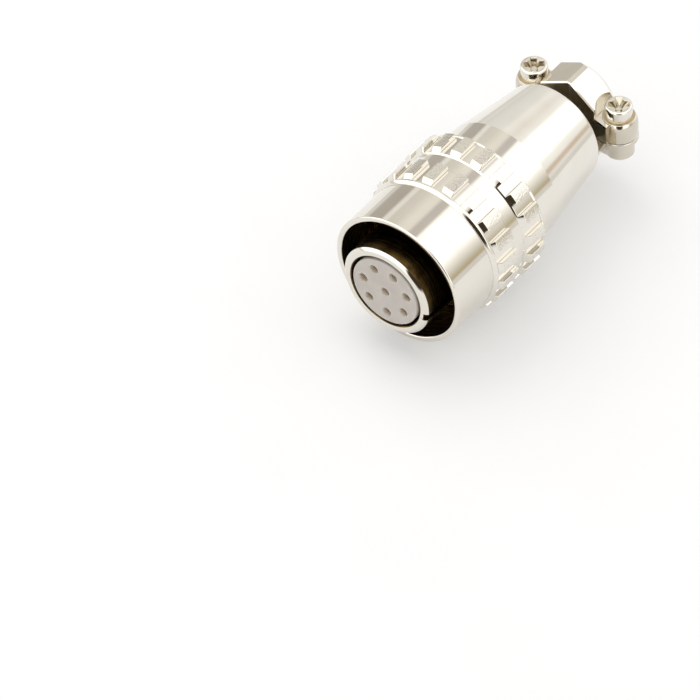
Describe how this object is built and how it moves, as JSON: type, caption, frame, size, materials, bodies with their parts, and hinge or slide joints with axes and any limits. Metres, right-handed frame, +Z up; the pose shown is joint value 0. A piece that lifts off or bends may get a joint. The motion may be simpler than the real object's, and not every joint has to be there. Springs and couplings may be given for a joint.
{
  "type": "push-pull connector",
  "caption": "Circular push-pull cable connector with a sliding knurled coupling ring, socket contacts in a round insulator, and a tapered back shell with a screwed cable clamp.",
  "frame": {"origin": "on the connector's axis, in the plane of the coupling sleeve's front rim with the sleeve forward", "axes": "+X along the axis from the mating end to the cable clamp, +Z up as the connector lies on its knurled ring, +Y completes the frame"},
  "size_m": [0.0435, 0.0208, 0.0208],
  "materials": {
    "tube_plating": "bright nickel plate on turned brass",
    "sleeve_plating": "bright nickel plate on turned brass",
    "ring_plating": "nickel plate, grainy lands and grooves",
    "shell_plating": "bright nickel plate on aluminium",
    "saddle_plating": "bright nickel plate on aluminium",
    "screw_plating": "nickel plated steel",
    "spring_steel": "spring wire",
    "clip_steel": "spring steel",
    "insulator_plastic": "off-white moulded plastic",
    "contact_plating": "plated brass"
  },
  "bodies": {
    "plug_body": {"inner_shell": "tube_plating", "insulator_front": "insulator_plastic", "insulator_rear": "insulator_plastic", "insulator_retainer": "clip_steel", "return_spring": "spring_steel", "back_shell": "shell_plating", "clamp_saddle": "saddle_plating", "clamp_screw_left": "screw_plating", "clamp_screw_right": "screw_plating", "contact_1": "contact_plating", "contact_2": "contact_plating", "contact_3": "contact_plating", "contact_4": "contact_plating", "contact_5": "contact_plating", "contact_6": "contact_plating", "contact_7": "contact_plating", "contact_8": "contact_plating"},
    "sleeve_body": {"coupling_sleeve": "sleeve_plating", "knurled_ring": "ring_plating", "rear_ring": "ring_plating", "stop_ring": "clip_steel"}
  },
  "joints": [
    {"name": "sleeve_slide", "type": "slide", "parent": "plug_body", "child": "sleeve_body", "axis": [1, 0, 0], "range_m": [0, 0.0025], "stiffness_N_per_m": 800, "springref_m": -0.005, "deforming": ["return_spring"]}
  ]
}
